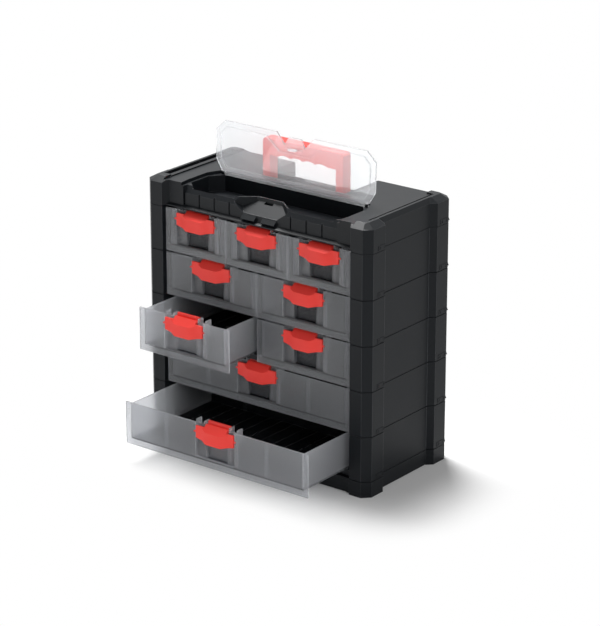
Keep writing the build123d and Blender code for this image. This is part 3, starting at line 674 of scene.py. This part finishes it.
class CADDY_OT_studio(bpy.types.Operator):
    """Set the floor, the lamps, the world and the camera"""
    bl_idname = "caddy.studio"
    bl_label = "Studio"

    def execute(self, context):
        studio = context.scene.caddy_studio
        context.scene.view_settings.view_transform = "Standard"
        self.floor(studio)
        self.world(context.scene, studio)
        self.lamps(studio)
        self.camera(context.scene, studio)
        return {"FINISHED"}

    def floor(self, studio):
        """A white floor that keeps the caddy's shadow near the case."""
        bpy.ops.object.select_all(action="DESELECT")
        bpy.ops.mesh.primitive_plane_add(size=studio.floor_size, location=(0, 0, 0))
        floor = bpy.context.active_object
        floor.name = "studio_floor"
        material = bpy.data.materials.new("floor_white")
        material.use_nodes = True
        tree = material.node_tree
        paper = tree.nodes["Principled BSDF"]
        paper.inputs["Base Color"].default_value = (0.93, 0.93, 0.93, 1.0)
        paper.inputs["Roughness"].default_value = 0.9
        paper.inputs["Specular IOR Level"].default_value = 0.0
        glow = tree.nodes.new("ShaderNodeEmission")
        glow.inputs["Strength"].default_value = 1.0
        place = tree.nodes.new("ShaderNodeTexCoord")
        away = place.outputs["Object"]
        case_half = (*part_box(TIERS[0])[1].xy, 0.0)
        for operation, value in (
                ("SUBTRACT", studio.shadow_centre), ("ABSOLUTE", (0.0, 0.0, 0.0)),
                ("SUBTRACT", case_half), ("MAXIMUM", (0.0, 0.0, 0.0))):
            step = tree.nodes.new("ShaderNodeVectorMath")
            step.operation = operation
            step.inputs[1].default_value = value
            tree.links.new(away, step.inputs[0])
            away = step.outputs["Vector"]
        reach = tree.nodes.new("ShaderNodeVectorMath")
        reach.operation = "LENGTH"
        tree.links.new(away, reach.inputs[0])
        fade = tree.nodes.new("ShaderNodeMapRange")
        fade.interpolation_type = "SMOOTHSTEP"
        fade.inputs["From Min"].default_value = studio.shadow_near
        fade.inputs["From Max"].default_value = studio.shadow_far
        fade.inputs["To Min"].default_value = studio.shadow_lift
        tree.links.new(reach.outputs["Value"], fade.inputs["Value"])
        mix = tree.nodes.new("ShaderNodeMixShader")
        tree.links.new(math(tree, "MULTIPLY", seen(tree), fade.outputs["Result"]),
                       mix.inputs["Fac"])
        tree.links.new(paper.outputs["BSDF"], mix.inputs[1])
        tree.links.new(glow.outputs["Emission"], mix.inputs[2])
        tree.links.new(mix.outputs["Shader"], tree.nodes["Material Output"].inputs["Surface"])
        floor.data.materials.append(material)

    def world(self, scene, studio):
        """An even white surrounding that lights little and is seen as white."""
        world = bpy.data.worlds.new("studio_world")
        scene.world = world
        world.use_nodes = True
        tree = world.node_tree
        back = tree.nodes["Background"]
        back.inputs["Color"].default_value = (1.0, 1.0, 1.0, 1.0)
        strength = math(tree, "MAXIMUM", seen(tree), studio.world_light)
        tree.links.new(strength, back.inputs["Strength"])

    def lamp(self, name, place, size, power):
        """A round soft lamp aimed at the caddy."""
        data = bpy.data.lights.new(name, "AREA")
        data.shape = "DISK"
        data.size = size
        data.energy = power
        lamp = bpy.data.objects.new(name, data)
        bpy.context.scene.collection.objects.link(lamp)
        lamp.location = place
        aim = Vector((0, 0, 0.2)) - lamp.location
        lamp.rotation_euler = aim.to_track_quat("-Z", "Y").to_euler()

    def lamps(self, studio):
        """The main lamp overhead, one on the right and a faint one low on the left."""
        self.lamp("key_lamp", (-0.95, 0.6, 2.4), 1.2, studio.key_power)
        self.lamp("fill_lamp", (2.4, -0.9, 1.3), 1.8, studio.fill_power)
        self.lamp("low_lamp", (-0.55, -0.95, 0.1), 0.4, studio.low_power)

    def camera(self, scene, studio):
        """The camera, placed round its target."""
        data = bpy.data.cameras.new("camera")
        data.lens = studio.lens
        data.sensor_width = 36.0
        data.clip_end = 50.0
        camera = bpy.data.objects.new("camera", data)
        scene.collection.objects.link(camera)
        back = Vector((
            sin(studio.azimuth) * cos(studio.elevation),
            -cos(studio.azimuth) * cos(studio.elevation),
            sin(studio.elevation),
        ))
        camera.location = Vector(studio.target) + back * studio.distance
        camera.rotation_euler = back.to_track_quat("Z", "Y").to_euler()
        scene.camera = camera


class CADDY_PT_panel(bpy.types.Panel):
    """Buttons for every group of pieces"""
    bl_idname = "CADDY_PT_panel"
    bl_label = "Caddy"
    bl_space_type = "VIEW_3D"
    bl_region_type = "UI"
    bl_category = "Caddy"

    def draw(self, context):
        for operator in OPERATORS:
            self.layout.operator(operator.bl_idname)
        for settings in (context.scene.caddy_sizes, context.scene.caddy_colours,
                         context.scene.caddy_studio):
            for name in settings.__annotations__:
                self.layout.prop(settings, name)


OPERATORS = (
    CADDY_OT_case,
    CADDY_OT_clips,
    CADDY_OT_ledge,
    CADDY_OT_drawers,
    CADDY_OT_latches,
    CADDY_OT_lid,
    CADDY_OT_handle,
    CADDY_OT_studio,
)
SETTINGS = (CaddySizes, CaddyColours, CaddyStudio)


def register():
    for cls in (*SETTINGS, *OPERATORS, CADDY_PT_panel):
        bpy.utils.register_class(cls)
    bpy.types.Scene.caddy_sizes = PointerProperty(type=CaddySizes)
    bpy.types.Scene.caddy_colours = PointerProperty(type=CaddyColours)
    bpy.types.Scene.caddy_studio = PointerProperty(type=CaddyStudio)


def unregister():
    del bpy.types.Scene.caddy_studio
    del bpy.types.Scene.caddy_colours
    del bpy.types.Scene.caddy_sizes
    for cls in (CADDY_PT_panel, *reversed(OPERATORS), *reversed(SETTINGS)):
        bpy.utils.unregister_class(cls)


def main():
    register()
    bpy.ops.caddy.case()
    bpy.ops.caddy.clips()
    bpy.ops.caddy.ledge()
    bpy.ops.caddy.drawers()
    bpy.ops.caddy.latches()
    bpy.ops.caddy.lid()
    bpy.ops.caddy.handle()
    bpy.ops.caddy.studio()


if __name__ == "__main__":
    main()
